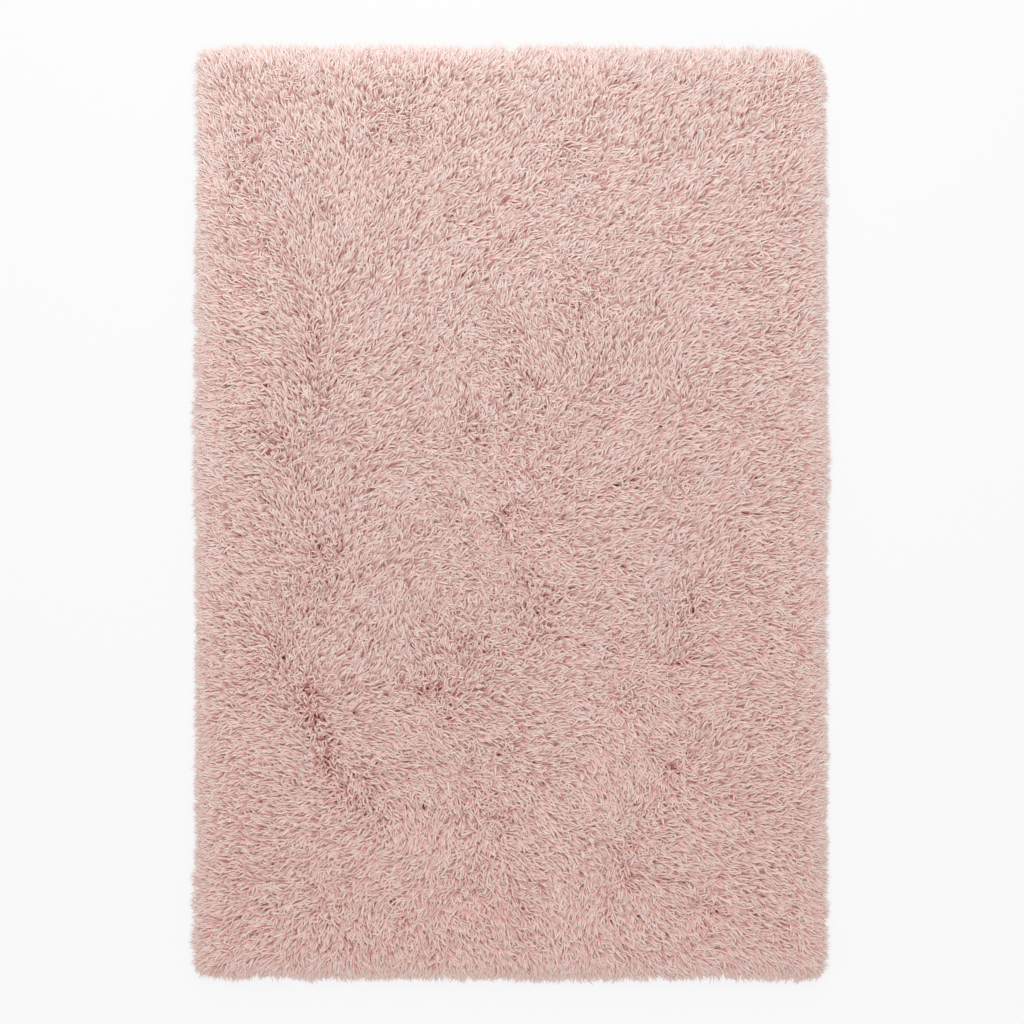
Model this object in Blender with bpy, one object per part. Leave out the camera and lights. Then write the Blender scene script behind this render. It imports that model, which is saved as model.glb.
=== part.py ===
"""Shag rug: a rectangular ground cloth hidden under a long, loose pile that leans out past it.

The rug lies flat, +Z up, with its length along Y and the middle of its underside at the origin.
One closed solid takes the outer form of the pile: a flat underside, a rounded edge where the
outer tufts fall to the floor, and a top that dips where the pile parts. Units are metres.
"""

import math
from collections import namedtuple

import bmesh
import bpy

# Driving sizes.
CLOTH_WIDTH = 1.200      # ground cloth across, along X
CLOTH_LENGTH = 1.800     # ground cloth lengthwise, along Y
PILE_REACH = 0.033       # how far the outer tufts lean past the cloth, all round
PILE_TOP = 0.040         # height of the combed pile over the floor
CELL = 0.036             # spacing of the surface's grid away from the edges

HALF_WIDTH = CLOTH_WIDTH / 2 + PILE_REACH
HALF_LENGTH = CLOTH_LENGTH / 2 + PILE_REACH

# The edge from the outermost tips inwards: distance in from the outline, and height there.
EdgeRing = namedtuple("EdgeRing", "inset height")
EDGE_RINGS = (
    EdgeRing(0.000, 0.0075),
    EdgeRing(0.005, 0.0170),
    EdgeRing(0.013, 0.0250),
    EdgeRing(0.027, 0.0320),
    EdgeRing(0.050, 0.0370),
    EdgeRing(0.085, PILE_TOP),
)
FOOT_INSET = 0.004       # how far the foot of the edge sits in from the outermost tips

# Outline: the turn at each corner, and how far each side's tufts lean past or short of the mean.
# A place runs along its side, from the middle.
CORNER_RADIUS = {(-1, 1): 0.036, (1, 1): 0.056, (-1, -1): 0.042, (1, -1): 0.042}
Lean = namedtuple("Lean", "place out")
SIDE_LEANS = {
    "left": (
        Lean(-0.84, 0.006), Lean(-0.74, 0.003), Lean(-0.64, -0.002), Lean(-0.36, -0.001),
        Lean(-0.08, -0.001), Lean(0.10, 0.005), Lean(0.30, 0.002), Lean(0.62, -0.002),
        Lean(0.86, 0.000),
    ),
    "right": (
        Lean(-0.85, 0.003), Lean(-0.70, 0.000), Lean(-0.50, 0.002), Lean(-0.34, 0.000),
        Lean(-0.18, 0.001), Lean(0.06, 0.004), Lean(0.32, 0.001), Lean(0.52, -0.002),
        Lean(0.78, -0.002), Lean(0.87, -0.006),
    ),
    "back": (
        Lean(-0.58, 0.001), Lean(-0.42, -0.001), Lean(-0.26, 0.002), Lean(-0.02, -0.001),
        Lean(0.08, 0.003), Lean(0.26, -0.002), Lean(0.58, -0.005),
    ),
    "front": (
        Lean(-0.56, -0.002), Lean(-0.28, -0.002), Lean(0.10, 0.001), Lean(0.30, 0.001),
        Lean(0.44, 0.003), Lean(0.58, 0.001),
    ),
}
LEAN_DEPTH = 0.160       # how far in from the outline a side's lean fades out

# Hollows where tufts part or stand open: the middle, the length and width of the trough, its
# heading in degrees anticlockwise from +X, and how far the top drops.
Hollow = namedtuple("Hollow", "x y length width heading drop")
HOLLOWS = (
    Hollow(-0.48, 0.72, 0.18, 0.06, 90, 0.006),
    Hollow(-0.49, 0.50, 0.16, 0.06, 84, 0.006),
    Hollow(-0.44, 0.26, 0.11, 0.07, 60, 0.005),
    Hollow(-0.25, 0.27, 0.13, 0.07, 10, 0.005),
    Hollow(-0.33, 0.10, 0.10, 0.07, 40, 0.005),
    Hollow(-0.11, 0.60, 0.12, 0.06, 60, 0.005),
    Hollow(-0.06, 0.35, 0.28, 0.08, 95, 0.006),
    Hollow(0.15, 0.66, 0.15, 0.06, 86, 0.007),
    Hollow(0.14, 0.42, 0.12, 0.07, 120, 0.006),
    Hollow(-0.02, 0.03, 0.28, 0.17, 90, 0.007),
    Hollow(-0.01, -0.15, 0.12, 0.10, 70, 0.006),
    Hollow(-0.36, -0.13, 0.12, 0.09, 20, 0.005),
    Hollow(-0.22, -0.15, 0.12, 0.11, 0, 0.005),
    Hollow(0.16, 0.17, 0.10, 0.07, 80, 0.005),
    Hollow(0.28, 0.17, 0.12, 0.06, 30, 0.005),
    Hollow(0.40, 0.12, 0.12, 0.07, 70, 0.005),
    Hollow(0.35, -0.08, 0.11, 0.07, 45, 0.005),
    Hollow(0.37, -0.27, 0.12, 0.07, 100, 0.006),
    Hollow(0.18, -0.35, 0.14, 0.07, 75, 0.006),
    Hollow(0.32, -0.45, 0.20, 0.13, 110, 0.007),
    Hollow(0.55, -0.22, 0.10, 0.06, 90, 0.004),
    Hollow(-0.10, -0.48, 0.16, 0.06, 4, 0.006),
    Hollow(-0.16, -0.60, 0.10, 0.07, 60, 0.005),
    Hollow(-0.44, -0.35, 0.14, 0.07, 8, 0.005),
    Hollow(-0.49, -0.61, 0.22, 0.07, 88, 0.005),
    Hollow(-0.24, -0.79, 0.10, 0.07, 30, 0.005),
    Hollow(-0.08, -0.75, 0.20, 0.09, 6, 0.006),
    Hollow(0.22, -0.65, 0.12, 0.08, 100, 0.006),
    Hollow(0.36, -0.75, 0.14, 0.07, 62, 0.006),
)

# Gentle rise and fall over the whole top, as sine waves of the given lengths.
Swell = namedtuple("Swell", "wavelength heading shift height")
SWELLS = (
    Swell(0.31, 24, 0.7, 0.0010),
    Swell(0.23, 118, 2.1, 0.0010),
    Swell(0.17, 71, 4.0, 0.0008),
)

PILE_COLOUR = (0.66, 0.47, 0.42, 1.0)
PILE_ROUGHNESS = 0.95

COLLECTION_NAME = "shag_rug_parts"
NODE_NAME = "shag_rug"


def clear_scene():
    """Removes every object that the scene holds."""
    for scene_object in list(bpy.data.objects):
        bpy.data.objects.remove(scene_object, do_unlink=True)


def grid_lines(half_span):
    """Places of the grid's lines across a span: close together at both edges, CELL apart between."""
    insets = [ring.inset for ring in EDGE_RINGS]
    inner_span = 2 * (half_span - insets[-1])
    cells = round(inner_span / CELL)
    step = inner_span / cells
    low_edge = [-half_span + inset for inset in insets]
    middle = [low_edge[-1] + step * count for count in range(1, cells)]
    high_edge = [-place for place in reversed(low_edge)]
    return low_edge + middle + high_edge


def blend_rows(places, values, at):
    """Value at one place of a short table, eased from each row to the next."""
    if at <= places[0]:
        return values[0]
    for index in range(1, len(places)):
        if at <= places[index]:
            share = (at - places[index - 1]) / (places[index] - places[index - 1])
            eased = share * share * (3 - 2 * share)
            return values[index - 1] + eased * (values[index] - values[index - 1])
    return values[-1]


def side_lean(side, place, inset):
    """How far a point leans outwards with its side; it fades with the distance in."""
    rows = SIDE_LEANS[side]
    out = blend_rows([row.place for row in rows], [row.out for row in rows], place)
    return out * max(0.0, 1 - inset / LEAN_DEPTH)


def round_corner(x, y):
    """Moves a point of the sharp rectangle onto the one with turned corners."""
    side_x = math.copysign(1, x)
    side_y = math.copysign(1, y)
    radius = CORNER_RADIUS[(side_x, side_y)]
    along_x = abs(x) - (HALF_WIDTH - radius)
    along_y = abs(y) - (HALF_LENGTH - radius)
    if along_x <= 0 or along_y <= 0:
        return x, y
    turned_x = along_x * math.sqrt(1 - along_y ** 2 / (2 * radius ** 2))
    turned_y = along_y * math.sqrt(1 - along_x ** 2 / (2 * radius ** 2))
    return side_x * (HALF_WIDTH - radius + turned_x), side_y * (HALF_LENGTH - radius + turned_y)


def lean_outwards(x, y):
    """Adds the sides' uneven lean to a point of the outline or near it."""
    inset_x = HALF_WIDTH - abs(x)
    inset_y = HALF_LENGTH - abs(y)
    side_x = "right" if x > 0 else "left"
    side_y = "back" if y > 0 else "front"
    return (
        x + math.copysign(side_lean(side_x, y, inset_x), x),
        y + math.copysign(side_lean(side_y, x, inset_y), y),
    )


def hollow_drop(x, y):
    """How far the hollows lower the top at a point; the deepest counts where two meet."""
    deepest = 0.0
    for hollow in HOLLOWS:
        turn = math.radians(hollow.heading)
        away_x = x - hollow.x
        away_y = y - hollow.y
        along = away_x * math.cos(turn) + away_y * math.sin(turn)
        across = away_y * math.cos(turn) - away_x * math.sin(turn)
        spread = (2 * along / hollow.length) ** 2 + (2 * across / hollow.width) ** 2
        deepest = max(deepest, hollow.drop * math.exp(-spread))
    return deepest


def swell_height(x, y):
    """Sum of the gentle waves at a point."""
    total = 0.0
    for swell in SWELLS:
        turn = math.radians(swell.heading)
        distance = x * math.cos(turn) + y * math.sin(turn)
        total += swell.height * math.sin(2 * math.pi * distance / swell.wavelength + swell.shift)
    return total


def top_height(x, y, inset):
    """Height of the pile's top: the edge rings' profile, less the hollows, plus the swells."""
    insets = [ring.inset for ring in EDGE_RINGS]
    heights = [ring.height for ring in EDGE_RINGS]
    profile = blend_rows(insets, heights, inset)
    inner = min(1.0, inset / insets[-1])
    return profile + inner * (swell_height(x, y) - hollow_drop(x, y))


def make_top(mesh):
    """The top and the upper half of the edge, as one grid whose rim is the rug's outline."""
    lines_x = grid_lines(HALF_WIDTH)
    lines_y = grid_lines(HALF_LENGTH)
    cells_x = len(lines_x) - 1
    cells_y = len(lines_y) - 1
    bmesh.ops.create_grid(mesh, x_segments=cells_x, y_segments=cells_y, size=1.0)
    for vert in mesh.verts:
        x = lines_x[round((vert.co.x + 1) / 2 * cells_x)]
        y = lines_y[round((vert.co.y + 1) / 2 * cells_y)]
        inset = min(HALF_WIDTH - abs(x), HALF_LENGTH - abs(y))
        turned_x, turned_y = round_corner(x, y)
        vert.co.z = top_height(turned_x, turned_y, inset)
        vert.co.x, vert.co.y = lean_outwards(turned_x, turned_y)


def close_underside(mesh):
    """Takes the rim down to the floor, a little inwards, and closes the flat underside."""
    rim = [edge for edge in mesh.edges if edge.is_boundary]
    extruded = bmesh.ops.extrude_edge_only(mesh, edges=rim)["geom"]
    foot = [item for item in extruded if isinstance(item, bmesh.types.BMVert)]
    for vert in foot:
        vert.co.x *= 1 - FOOT_INSET / HALF_WIDTH
        vert.co.y *= 1 - FOOT_INSET / HALF_LENGTH
        vert.co.z = 0.0
    loose = [edge for edge in mesh.edges if edge.is_boundary]
    bmesh.ops.contextual_create(mesh, geom=loose)


def centre_on_origin(mesh):
    """Shifts the mesh so that the middle of its underside's box is the origin."""
    for axis in (0, 1):
        places = [vert.co[axis] for vert in mesh.verts]
        middle = (min(places) + max(places)) / 2
        for vert in mesh.verts:
            vert.co[axis] -= middle


def pile_material():
    """Matt, pale pink yarn."""
    material = bpy.data.materials.new("pile_yarn")
    material.use_nodes = True
    shader = material.node_tree.nodes["Principled BSDF"]
    shader.inputs["Base Color"].default_value = PILE_COLOUR
    shader.inputs["Roughness"].default_value = PILE_ROUGHNESS
    shader.inputs["Metallic"].default_value = 0.0
    material.diffuse_color = PILE_COLOUR
    return material


def make_rug(collection):
    """The whole rug as one solid."""
    mesh = bmesh.new()
    make_top(mesh)
    close_underside(mesh)
    centre_on_origin(mesh)
    bmesh.ops.recalc_face_normals(mesh, faces=mesh.faces)
    data = bpy.data.meshes.new(NODE_NAME)
    mesh.to_mesh(data)
    mesh.free()
    data.shade_smooth()
    data.set_sharp_from_angle(angle=math.radians(40))
    data.materials.append(pile_material())
    rug = bpy.data.objects.new(NODE_NAME, data)
    collection.objects.link(rug)
    return rug


def main():
    clear_scene()
    collection = bpy.data.collections.new(COLLECTION_NAME)
    bpy.context.scene.collection.children.link(collection)
    make_rug(collection)


main()
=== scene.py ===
"""Shag rug: the long pile, strand by strand, on its ground cloth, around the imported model.

The pile is planted in locks over the ground cloth. A lock is a few strands that share a root and
draw together at the tip. Each lock leans where the pile was last brushed, opens round a parting,
stands up where the pile is tangled, and falls to the floor past the edge of the cloth.
"""

import math
from collections import namedtuple

import bpy
import numpy as np
from bpy.props import FloatProperty, FloatVectorProperty, IntProperty, PointerProperty
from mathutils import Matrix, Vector


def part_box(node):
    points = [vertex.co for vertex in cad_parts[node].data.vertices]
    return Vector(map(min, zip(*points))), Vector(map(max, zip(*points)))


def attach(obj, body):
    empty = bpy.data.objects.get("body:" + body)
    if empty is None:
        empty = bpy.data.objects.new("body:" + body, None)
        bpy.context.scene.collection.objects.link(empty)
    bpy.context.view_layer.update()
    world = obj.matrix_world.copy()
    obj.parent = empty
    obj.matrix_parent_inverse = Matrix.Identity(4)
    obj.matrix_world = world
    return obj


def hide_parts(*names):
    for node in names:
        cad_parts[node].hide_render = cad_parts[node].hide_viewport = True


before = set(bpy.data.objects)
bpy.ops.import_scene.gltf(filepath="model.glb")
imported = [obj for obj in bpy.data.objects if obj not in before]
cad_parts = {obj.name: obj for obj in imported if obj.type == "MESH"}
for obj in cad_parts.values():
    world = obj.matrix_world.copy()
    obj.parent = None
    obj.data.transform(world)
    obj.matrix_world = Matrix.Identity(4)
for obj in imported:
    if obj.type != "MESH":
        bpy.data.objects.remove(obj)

bl_info = {
    "name": "Shag Rug",
    "version": (1, 0, 0),
    "blender": (4, 5, 0),
    "location": "View3D > Sidebar > Shag Rug",
    "description": "Builds a shag rug lock by lock, with its ground cloth and a plain studio",
    "category": "Add Mesh",
}

CAD_NODE = "shag_rug"
CAD_LOW, CAD_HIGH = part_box(CAD_NODE)
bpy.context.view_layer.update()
CAD_WIDTH = CAD_HIGH[0] - CAD_LOW[0]
CAD_LENGTH = CAD_HIGH[1] - CAD_LOW[1]
CAD_HEIGHT = CAD_HIGH[2] - CAD_LOW[2]

# Height of the combed pile against the distance in from the outline.
EdgeRing = namedtuple("EdgeRing", "inset height")
EDGE_RINGS = (
    EdgeRing(-0.010, 0.0030),
    EdgeRing(0.000, 0.0075),
    EdgeRing(0.005, 0.0170),
    EdgeRing(0.013, 0.0250),
    EdgeRing(0.027, 0.0320),
    EdgeRing(0.050, 0.0370),
    EdgeRing(0.085, 0.0400),
)

# How far each side's tufts lean past or short of the mean; a place runs along its side.
Lean = namedtuple("Lean", "place out")
SIDE_LEANS = {
    "left": (
        Lean(-0.84, 0.006), Lean(-0.74, 0.003), Lean(-0.64, -0.002), Lean(-0.36, -0.001),
        Lean(-0.08, -0.001), Lean(0.10, 0.005), Lean(0.30, 0.002), Lean(0.62, -0.002),
        Lean(0.86, 0.000),
    ),
    "right": (
        Lean(-0.85, 0.003), Lean(-0.70, 0.000), Lean(-0.50, 0.002), Lean(-0.34, 0.000),
        Lean(-0.18, 0.001), Lean(0.06, 0.004), Lean(0.32, 0.001), Lean(0.52, -0.002),
        Lean(0.78, -0.002), Lean(0.87, -0.006),
    ),
    "back": (
        Lean(-0.58, 0.001), Lean(-0.42, -0.001), Lean(-0.26, 0.002), Lean(-0.02, -0.001),
        Lean(0.08, 0.003), Lean(0.26, -0.002), Lean(0.58, -0.005),
    ),
    "front": (
        Lean(-0.56, -0.002), Lean(-0.28, -0.002), Lean(0.10, 0.001), Lean(0.30, 0.001),
        Lean(0.44, 0.003), Lean(0.58, 0.001),
    ),
}

# Radius of each corner, by the signs of its x and y.
CORNER_RADII = {(-1, 1): 0.036, (1, 1): 0.058, (-1, -1): 0.042, (1, -1): 0.042}

# Strokes of the hand that last brushed the pile: the middle of each, its heading in degrees
# anticlockwise from +X, and how far it reaches.
Stroke = namedtuple("Stroke", "x y heading reach")
STROKES = (
    # back edge
    Stroke(-0.58, 0.80, 128, 0.10),
    Stroke(-0.50, 0.88, 112, 0.06),
    Stroke(-0.40, 0.84, 92, 0.07),
    Stroke(-0.30, 0.86, 70, 0.06),
    Stroke(-0.18, 0.88, 78, 0.06),
    Stroke(-0.05, 0.82, 50, 0.10),
    Stroke(0.11, 0.88, 75, 0.05),
    Stroke(0.24, 0.84, 52, 0.10),
    Stroke(0.46, 0.84, 50, 0.14),
    # back third
    Stroke(-0.60, 0.66, 135, 0.10),
    Stroke(-0.51, 0.70, 100, 0.05),
    Stroke(-0.37, 0.70, 90, 0.07),
    Stroke(-0.29, 0.66, 63, 0.06),
    Stroke(-0.24, 0.77, 24, 0.04),
    Stroke(-0.14, 0.72, 60, 0.07),
    Stroke(0.04, 0.70, 50, 0.07),
    Stroke(0.12, 0.64, 20, 0.07),
    Stroke(0.30, 0.70, 42, 0.12),
    Stroke(0.54, 0.72, 25, 0.10),
    Stroke(-0.58, 0.52, 155, 0.09),
    Stroke(-0.38, 0.54, 92, 0.06),
    Stroke(-0.30, 0.50, 60, 0.08),
    Stroke(-0.14, 0.60, 35, 0.08),
    Stroke(-0.14, 0.48, 50, 0.09),
    Stroke(0.02, 0.56, 36, 0.08),
    Stroke(0.46, 0.61, 45, 0.04),
    Stroke(0.30, 0.56, 32, 0.10),
    Stroke(0.56, 0.54, 12, 0.12),
    Stroke(-0.58, 0.36, 168, 0.10),
    Stroke(-0.46, 0.38, 150, 0.07),
    Stroke(-0.36, 0.36, 70, 0.06),
    Stroke(-0.24, 0.36, 38, 0.08),
    Stroke(0.00, 0.30, 142, 0.05),
    Stroke(0.08, 0.34, 130, 0.05),
    Stroke(0.14, 0.28, 95, 0.05),
    Stroke(0.28, 0.38, 62, 0.07),
    Stroke(0.30, 0.27, 90, 0.05),
    Stroke(0.44, 0.36, 22, 0.10),
    Stroke(0.56, 0.34, 14, 0.10),
    # middle third
    Stroke(-0.58, 0.20, 178, 0.10),
    Stroke(-0.46, 0.20, 125, 0.04),
    Stroke(-0.38, 0.14, 55, 0.07),
    Stroke(-0.26, 0.22, 35, 0.07),
    Stroke(-0.14, 0.20, 70, 0.05),
    Stroke(0.06, 0.19, 35, 0.05),
    Stroke(0.20, 0.20, 15, 0.06),
    Stroke(-0.26, 0.09, 8, 0.07),
    Stroke(-0.10, 0.10, 340, 0.05),
    Stroke(0.24, 0.09, 32, 0.10),
    Stroke(0.42, 0.10, 32, 0.07),
    Stroke(0.56, 0.10, 12, 0.12),
    Stroke(-0.58, 0.00, 172, 0.10),
    Stroke(-0.44, 0.02, 100, 0.05),
    Stroke(-0.32, 0.02, 62, 0.06),
    Stroke(-0.20, -0.02, 45, 0.06),
    Stroke(0.14, -0.04, 12, 0.08),
    Stroke(0.38, -0.06, 45, 0.07),
    Stroke(0.56, -0.10, 6, 0.12),
    Stroke(-0.56, -0.14, 162, 0.08),
    Stroke(-0.48, -0.22, 130, 0.05),
    Stroke(-0.22, -0.14, 48, 0.07),
    Stroke(-0.14, -0.09, 10, 0.05),
    Stroke(0.02, -0.20, 105, 0.05),
    Stroke(0.16, -0.18, 2, 0.08),
    Stroke(0.31, -0.22, 95, 0.05),
    Stroke(0.50, -0.26, 356, 0.12),
    Stroke(-0.58, -0.32, 178, 0.10),
    Stroke(-0.40, -0.28, 50, 0.08),
    Stroke(-0.30, -0.32, 50, 0.06),
    Stroke(-0.15, -0.28, 130, 0.05),
    Stroke(-0.08, -0.32, 55, 0.05),
    Stroke(0.12, -0.32, 0, 0.08),
    # front third
    Stroke(-0.52, -0.42, 182, 0.10),
    Stroke(-0.32, -0.42, 354, 0.07),
    Stroke(-0.20, -0.43, 325, 0.05),
    Stroke(-0.04, -0.40, 0, 0.08),
    Stroke(0.12, -0.42, 358, 0.07),
    Stroke(0.24, -0.42, 315, 0.06),
    Stroke(0.40, -0.46, 50, 0.05),
    Stroke(0.54, -0.48, 10, 0.12),
    Stroke(-0.44, -0.50, 158, 0.06),
    Stroke(-0.24, -0.52, 345, 0.08),
    Stroke(-0.06, -0.52, 310, 0.06),
    Stroke(0.19, -0.51, 282, 0.06),
    Stroke(0.26, -0.57, 230, 0.04),
    Stroke(-0.56, -0.62, 182, 0.12),
    Stroke(-0.34, -0.60, 196, 0.07),
    Stroke(-0.16, -0.62, 250, 0.06),
    Stroke(0.02, -0.60, 300, 0.06),
    Stroke(0.12, -0.62, 345, 0.07),
    Stroke(0.32, -0.64, 345, 0.08),
    Stroke(0.54, -0.66, 0, 0.12),
    Stroke(-0.50, -0.70, 184, 0.08),
    Stroke(-0.38, -0.71, 235, 0.07),
    Stroke(-0.20, -0.72, 215, 0.07),
    Stroke(0.06, -0.70, 325, 0.06),
    Stroke(0.16, -0.74, 262, 0.06),
    Stroke(0.42, -0.76, 335, 0.10),
    # front edge
    Stroke(-0.58, -0.82, 216, 0.10),
    Stroke(-0.46, -0.86, 232, 0.08),
    Stroke(-0.36, -0.86, 266, 0.06),
    Stroke(-0.28, -0.84, 290, 0.05),
    Stroke(-0.18, -0.86, 270, 0.06),
    Stroke(-0.08, -0.84, 292, 0.07),
    Stroke(0.04, -0.86, 298, 0.06),
    Stroke(0.11, -0.84, 262, 0.05),
    Stroke(0.20, -0.86, 292, 0.06),
    Stroke(0.32, -0.84, 310, 0.08),
    Stroke(0.54, -0.86, 318, 0.14),
)
UNBRUSHED = 0.02         # weight of plain outward lean against the strokes

# Whorls, round which the pile opens like a star.
Whorl = namedtuple("Whorl", "x y reach")
WHORLS = (
    Whorl(-0.44, 0.86, 0.030),
    Whorl(-0.47, 0.75, 0.035),
    Whorl(-0.53, 0.73, 0.025),
    Whorl(-0.22, 0.78, 0.035),
    Whorl(-0.28, 0.75, 0.025),
    Whorl(-0.49, 0.54, 0.035),
    Whorl(-0.49, 0.44, 0.035),
    Whorl(-0.12, 0.59, 0.030),
    Whorl(0.11, 0.72, 0.035),
    Whorl(0.13, 0.66, 0.025),
    Whorl(0.13, 0.61, 0.025),
    Whorl(0.11, 0.47, 0.030),
    Whorl(0.15, 0.40, 0.035),
    Whorl(0.31, 0.55, 0.025),
    Whorl(0.04, 0.16, 0.030),
    Whorl(0.33, 0.04, 0.035),
    Whorl(0.21, -0.11, 0.030),
    Whorl(0.35, -0.19, 0.035),
    Whorl(0.19, -0.26, 0.030),
    Whorl(-0.41, -0.35, 0.040),
    Whorl(-0.14, -0.40, 0.035),
    Whorl(-0.37, -0.50, 0.030),
    Whorl(-0.33, -0.56, 0.025),
    Whorl(-0.01, -0.61, 0.035),
    Whorl(-0.37, -0.79, 0.030),
    Whorl(-0.21, -0.81, 0.030),
    Whorl(-0.09, -0.74, 0.035),
    Whorl(0.24, -0.37, 0.055),
    Whorl(0.33, -0.50, 0.040),
    Whorl(0.22, -0.65, 0.035),
    Whorl(0.38, -0.78, 0.030),
)

# Places where the locks cross each other and stand up: amount is 0 for none to 1 for all.
Tangle = namedtuple("Tangle", "x y reach amount")
TANGLES = (
    Tangle(-0.50, 0.70, 0.09, 0.6),
    Tangle(-0.20, 0.74, 0.08, 0.6),
    Tangle(0.10, 0.70, 0.09, 0.4),
    Tangle(0.12, 0.44, 0.10, 0.7),
    Tangle(-0.06, 0.34, 0.10, 0.7),
    Tangle(-0.42, 0.16, 0.09, 0.5),
    Tangle(-0.02, 0.06, 0.16, 0.9),
    Tangle(-0.38, 0.00, 0.08, 0.5),
    Tangle(-0.04, -0.18, 0.13, 0.8),
    Tangle(-0.42, -0.18, 0.08, 0.5),
    Tangle(0.34, -0.12, 0.07, 0.4),
    Tangle(-0.10, -0.32, 0.10, 0.5),
    Tangle(0.28, -0.44, 0.10, 0.5),
    Tangle(-0.08, -0.52, 0.12, 0.7),
    Tangle(-0.36, -0.74, 0.08, 0.5),
    Tangle(-0.06, -0.72, 0.12, 0.5),
    Tangle(0.20, -0.68, 0.08, 0.5),
)

# Hollows where tufts part or stand open: the middle, the length and width of the trough, its
# heading in degrees anticlockwise from +X, and how far the top drops.
Hollow = namedtuple("Hollow", "x y length width heading drop")
HOLLOWS = (
    Hollow(-0.48, 0.72, 0.18, 0.06, 90, 0.006),
    Hollow(-0.49, 0.50, 0.16, 0.06, 84, 0.006),
    Hollow(-0.44, 0.26, 0.11, 0.07, 60, 0.005),
    Hollow(-0.25, 0.27, 0.13, 0.07, 10, 0.005),
    Hollow(-0.33, 0.10, 0.10, 0.07, 40, 0.005),
    Hollow(-0.11, 0.60, 0.12, 0.06, 60, 0.005),
    Hollow(-0.06, 0.35, 0.28, 0.08, 95, 0.006),
    Hollow(0.15, 0.66, 0.15, 0.06, 86, 0.007),
    Hollow(0.14, 0.42, 0.12, 0.07, 120, 0.006),
    Hollow(-0.02, 0.03, 0.28, 0.17, 90, 0.007),
    Hollow(-0.01, -0.15, 0.12, 0.10, 70, 0.006),
    Hollow(-0.36, -0.13, 0.12, 0.09, 20, 0.005),
    Hollow(-0.22, -0.15, 0.12, 0.11, 0, 0.005),
    Hollow(0.16, 0.17, 0.10, 0.07, 80, 0.005),
    Hollow(0.28, 0.17, 0.12, 0.06, 30, 0.005),
    Hollow(0.40, 0.12, 0.12, 0.07, 70, 0.005),
    Hollow(0.35, -0.08, 0.11, 0.07, 45, 0.005),
    Hollow(0.37, -0.27, 0.12, 0.07, 100, 0.006),
    Hollow(0.18, -0.35, 0.14, 0.07, 75, 0.006),
    Hollow(0.32, -0.45, 0.20, 0.13, 110, 0.007),
    Hollow(0.55, -0.22, 0.10, 0.06, 90, 0.004),
    Hollow(-0.10, -0.48, 0.16, 0.06, 4, 0.006),
    Hollow(-0.16, -0.60, 0.10, 0.07, 60, 0.005),
    Hollow(-0.44, -0.35, 0.14, 0.07, 8, 0.005),
    Hollow(-0.49, -0.61, 0.22, 0.07, 88, 0.005),
    Hollow(-0.24, -0.79, 0.10, 0.07, 30, 0.005),
    Hollow(-0.08, -0.75, 0.20, 0.09, 6, 0.006),
    Hollow(0.22, -0.65, 0.12, 0.08, 100, 0.006),
    Hollow(0.36, -0.75, 0.14, 0.07, 62, 0.006),
)
DEEPEST_HOLLOW = max(hollow.drop for hollow in HOLLOWS)

# A strand from root to tip: how far along each row of points lies, the share of the strand's
# reach and height there, and the share of its width.
StrandRow = namedtuple("StrandRow", "along reach height width")
STRAND_ROWS = (
    StrandRow(0.00, 0.00, 0.00, 1.60),
    StrandRow(0.36, 0.16, 0.86, 2.10),
    StrandRow(0.80, 0.74, 1.00, 1.45),
    StrandRow(1.00, 1.00, 0.96, 0.00),
)
ROWS_ALONG = np.array([row.along for row in STRAND_ROWS])
ROWS_WIDTH = np.array([row.width for row in STRAND_ROWS])

# The mean outline lies this far inside the solid's box, whose sides are the tufts that lean most.
OUTLINE_INSET_X = 0.006
OUTLINE_INSET_Y = 0.004

# Planting. Extra locks stand along the edges, where the pile has to spread out past the cloth.
ROOT_STRAY = 0.32        # how far a root strays from its place in the grid, in spacings
EDGE_BAND = 0.040        # width of the band of extra locks
EDGE_EXTRA = 1.1         # extra locks in it, to each one of the grid
EDGE_CROWDING = 1.3      # above 1 they stand thickest at the very edge

# Combing. A lean is a vector, 1 long for a full stroke of the hand.
Eddy = namedtuple("Eddy", "turn cell")
EDDIES = (Eddy(0.35, 0.045), Eddy(0.40, 0.020))
RIM = 0.030              # width of the rim of the cloth where the pile turns outward
OUTWARD_PULL = 0.9       # lean outward at the edge of the cloth
WHORL_PUSH = 0.6         # lean away from the middle of a whorl
WHORL_PARTING = 0.8      # how far the pile parts there
PARTING_STEP = 0.010     # half the distance across which a parting is looked for
FULL_PARTING = 60.0      # opening of the lean, per metre, at which the pile parts fully
STRAY_LEAN = 0.26        # lean by chance of every lock
TANGLED_LEAN = 0.7       # more of it in a full tangle

# Lay, 0 upright to 1 combed flat.
LEAST_STRENGTH = 0.5     # a weak lean lays a lock down as much as this one
TANGLE_STANDS = 0.35     # how much a full tangle takes off
PARTING_STANDS = 0.4     # how much a full parting takes off
LAY_CHANCE = (0.85, 1.1)
LEAST_LAY = 0.3
EDGE_LAY = 0.95          # least lay at the edge of the cloth

# Evening out the locks over the rug, on a grid that counts how many lie over each of its cells.
COVER_CELL = 0.005
COVER_MARGIN = 0.05      # how far the grid reaches past the rug
COVER_PASSES = 6
COVER_BLURS = 3
COVER_PLACES = (0.45, 0.70, 0.95)   # places along a lock that are counted
COVER_STEP = 0.00004     # how far a lock moves down the slope of the cover in one pass

# Reach of a lock: shares of the pile's length, and how far edge locks go past the outline.
UPRIGHT_REACH = 0.26
LAID_REACH = 0.52
PAST_OUTLINE = 0.006
PAST_BACK = 0.011        # added at the back end
PAST_FRONT = 0.003       # added at the front end
END_POWER = 12           # above 1, keeps what is added close to the ends
SCALLOP = 0.004          # change in and out along the edge
SCALLOP_CELL = 0.030
LONGEST_EDGE_REACH = 0.052

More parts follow.
